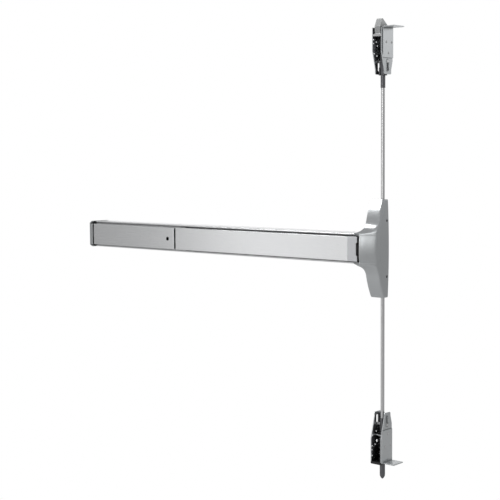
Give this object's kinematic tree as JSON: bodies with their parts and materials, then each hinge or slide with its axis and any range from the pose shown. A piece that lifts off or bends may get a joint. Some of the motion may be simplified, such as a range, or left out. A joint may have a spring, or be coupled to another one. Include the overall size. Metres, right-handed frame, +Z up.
{
  "type": "concealed vertical rod panic exit bar",
  "caption": "Narrow-stile panic exit bar with a push bar on a rail, a flared centre case and rods to a swinging top latch and a round bottom bolt.",
  "frame": {"origin": "where the rods' centre line (X), the door's room-side face (Y) and the bar's mid height (Z) meet", "axes": "+X along the push bar towards the centre case, +Y into the door, +Z up"},
  "size_m": [0.8733, 0.0961, 0.962],
  "materials": {
    "satin_aluminium": "satin, lengthwise brushed, clear anodised",
    "silver_casting": "satin silver coat over a casting",
    "end_piece": "satin silver",
    "black_plastic": "matte",
    "zinc_plate": "zinc plated sheet",
    "bright_steel": "bright drawn",
    "screw_steel": "plated",
    "dark_steel": "oiled dark steel",
    "bolt_steel": "tumbled, zinc plated",
    "spring_steel": "drawn wire"
  },
  "bodies": {
    "frame": {"rail": "satin_aluminium", "bracket_screws": "screw_steel", "end_cap": "silver_casting", "end_cap_screws": "screw_steel", "rail_end_bracket": "zinc_plate", "filler_cover": "satin_aluminium", "dog_bracket": "dark_steel", "crank_bracket_left": "zinc_plate", "crank_bracket_right": "zinc_plate", "crank_pivot_pins": "bright_steel", "spring_seat": "zinc_plate", "return_spring": "spring_steel", "case_cover": "silver_casting", "case_screws": "screw_steel", "centre_chassis": "zinc_plate", "lever_pivot_pins": "bright_steel", "lever_clips": "dark_steel", "lift_guide": "zinc_plate", "top_latch_case": "zinc_plate", "top_latch_bracket": "zinc_plate", "top_latch_rivets": "bright_steel", "top_bolt_pin": "bright_steel", "bottom_latch_case": "zinc_plate", "bottom_latch_bracket": "zinc_plate", "bottom_latch_rivets": "bright_steel", "bottom_guide_bush": "black_plastic", "bottom_bolt_spring": "spring_steel"},
    "dog": {"dog_screw": "dark_steel", "dog_clip": "dark_steel", "dog_hook": "dark_steel"},
    "push_bar": {"push_bar": "satin_aluminium", "push_bar_catch": "zinc_plate", "push_bar_left_plug": "black_plastic", "push_bar_end_cap": "end_piece", "bar_bracket_left": "zinc_plate", "bar_bracket_right": "zinc_plate", "bar_drive_pins": "bright_steel"},
    "crank_left": {"bell_crank_left": "dark_steel"},
    "crank_right": {"bell_crank_right": "dark_steel"},
    "link": {"pull_link": "zinc_plate", "link_pins": "bright_steel", "yoke": "zinc_plate", "yoke_rivets": "bright_steel"},
    "lever_upper": {"lift_lever_upper": "dark_steel"},
    "lever_lower": {"lift_lever_lower": "dark_steel"},
    "top_rod": {"lift_block_upper": "dark_steel", "lift_stud_upper": "bright_steel", "jam_nut_upper": "screw_steel", "rod_upper": "bright_steel", "top_connector": "dark_steel", "top_lift_bar": "dark_steel", "top_lift_pins": "bright_steel"},
    "bottom_rod": {"lift_block_lower": "dark_steel", "lift_stud_lower": "bright_steel", "jam_nut_lower": "screw_steel", "rod_lower": "bright_steel", "bottom_connector": "dark_steel", "bottom_cross_pin": "bright_steel", "bottom_bolt": "dark_steel"},
    "top_bolt": {"top_bolt": "bolt_steel"}
  },
  "joints": [
    {"name": "push", "type": "slide", "parent": "frame", "child": "push_bar", "axis": [0, 1, 0], "range_m": [0, 0.014], "stiffness_N_per_m": 450, "springref_m": -0.04},
    {"name": "link_pull", "type": "slide", "parent": "frame", "child": "link", "axis": [-1, 0, 0], "range_m": [0, 0.0117], "deforming": ["return_spring"]},
    {"name": "crank_left_turn", "type": "hinge", "parent": "frame", "child": "crank_left", "pos_m": [-0.48, -0.022, 0], "axis": [0, 0, 1], "range_deg": [0, 60.66]},
    {"name": "crank_right_turn", "type": "hinge", "parent": "frame", "child": "crank_right", "pos_m": [-0.12, -0.022, 0], "axis": [0, 0, 1], "range_deg": [0, 60.66]},
    {"name": "lever_upper_turn", "type": "hinge", "parent": "frame", "child": "lever_upper", "pos_m": [0.0155, -0.012, 0.014], "axis": [0, -1, 0], "range_deg": [0, 54.6]},
    {"name": "lever_lower_turn", "type": "hinge", "parent": "frame", "child": "lever_lower", "pos_m": [0.0155, -0.012, -0.014], "axis": [0, 1, 0], "range_deg": [0, 54.6]},
    {"name": "top_rod_lift", "type": "slide", "parent": "frame", "child": "top_rod", "axis": [0, 0, -1], "range_m": [0, 0.016]},
    {"name": "bottom_rod_lift", "type": "slide", "parent": "frame", "child": "bottom_rod", "axis": [0, 0, 1], "range_m": [0, 0.016], "deforming": ["bottom_bolt_spring"]},
    {"name": "top_bolt_turn", "type": "hinge", "parent": "frame", "child": "top_bolt", "pos_m": [0, 0.008, 0.438], "axis": [-1, 0, 0], "range_deg": [0, 59.49]},
    {"name": "dog_turn", "type": "hinge", "parent": "frame", "child": "dog", "pos_m": [-0.557, -0.04, -0.001], "axis": [0, 1, 0], "range_deg": [0, 90]}
  ],
  "couplings": [
    {"joint": "link_pull", "follows": "push", "ratio": 0.83571},
    {"joint": "crank_left_turn", "follows": "push", "rad_per_m": 75.617},
    {"joint": "crank_right_turn", "follows": "push", "rad_per_m": 75.617},
    {"joint": "lever_upper_turn", "follows": "push", "rad_per_m": 68.067},
    {"joint": "lever_lower_turn", "follows": "push", "rad_per_m": 68.067},
    {"joint": "top_rod_lift", "follows": "push", "ratio": 1.1429},
    {"joint": "bottom_rod_lift", "follows": "push", "ratio": 1.1429},
    {"joint": "top_bolt_turn", "follows": "push", "rad_per_m": 74.164}
  ]
}
